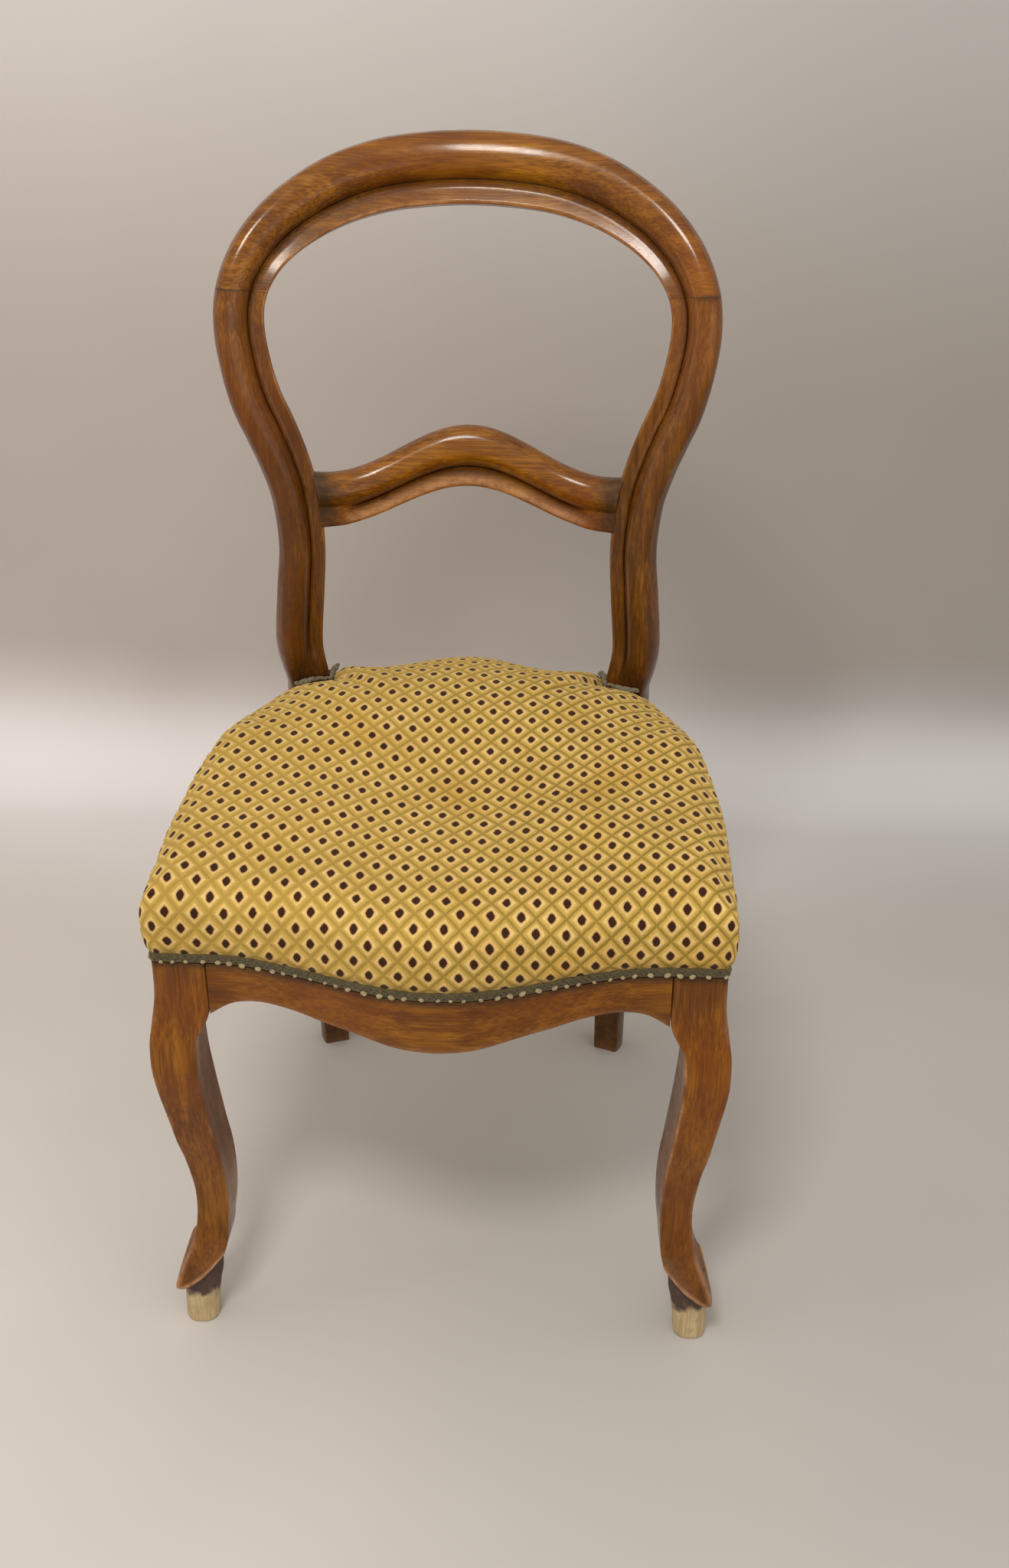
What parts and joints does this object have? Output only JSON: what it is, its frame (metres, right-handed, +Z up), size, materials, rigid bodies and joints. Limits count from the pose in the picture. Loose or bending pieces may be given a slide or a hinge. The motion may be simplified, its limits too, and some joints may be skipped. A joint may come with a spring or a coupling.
{
  "type": "balloon back chair",
  "caption": "Balloon back side chair of polished wood with a moulded hoop back, serpentine front rail, cabriole front legs and a stuffed, sprung seat in lozenge-patterned velvet.",
  "frame": {"origin": "on the floor below the middle of the whole chair's box", "axes": "+Z up, the front of the chair faces -Y, +X to the right seen from the front"},
  "size_m": [0.4544, 0.5484, 0.9052],
  "materials": {
    "polished_walnut": "French-polished walnut, glossy, warm brown",
    "beech": "raw pale wood, unpolished",
    "steel": "dull drawn wire",
    "jute": "coarse plain weave",
    "hair_stuffing": "matted curled hair",
    "velvet": "straw-gold cut velvet with a lattice of dark lozenges",
    "braid": "narrow olive-grey braid with pale beads"
  },
  "bodies": {
    "root": {"crest_rail": "polished_walnut", "right_back_post": "polished_walnut", "left_back_post": "polished_walnut", "mid_rail": "polished_walnut", "front_rail": "polished_walnut", "right_side_rail": "polished_walnut", "left_side_rail": "polished_walnut", "back_rail": "polished_walnut", "right_front_leg": "polished_walnut", "left_front_leg": "polished_walnut", "right_crest_dowel": "beech", "left_crest_dowel": "beech", "right_front_block": "beech", "left_front_block": "beech", "right_rear_block": "beech", "left_rear_block": "beech", "right_front_screw": "steel", "left_front_screw": "steel", "right_side_screw": "steel", "left_side_screw": "steel", "right_rear_screw": "steel", "left_rear_screw": "steel", "right_back_screw": "steel", "left_back_screw": "steel", "seat_spring_1": "steel", "seat_spring_2": "steel", "seat_spring_3": "steel", "seat_spring_4": "steel", "seat_spring_5": "steel", "web_length_1": "jute", "web_length_2": "jute", "web_length_3": "jute", "web_cross_1": "jute", "web_cross_2": "jute", "web_cross_3": "jute", "spring_canvas": "jute", "seat_stuffing": "hair_stuffing", "seat_cover": "velvet", "front_gimp": "braid", "back_gimp": "braid"}
  },
  "joints": []
}
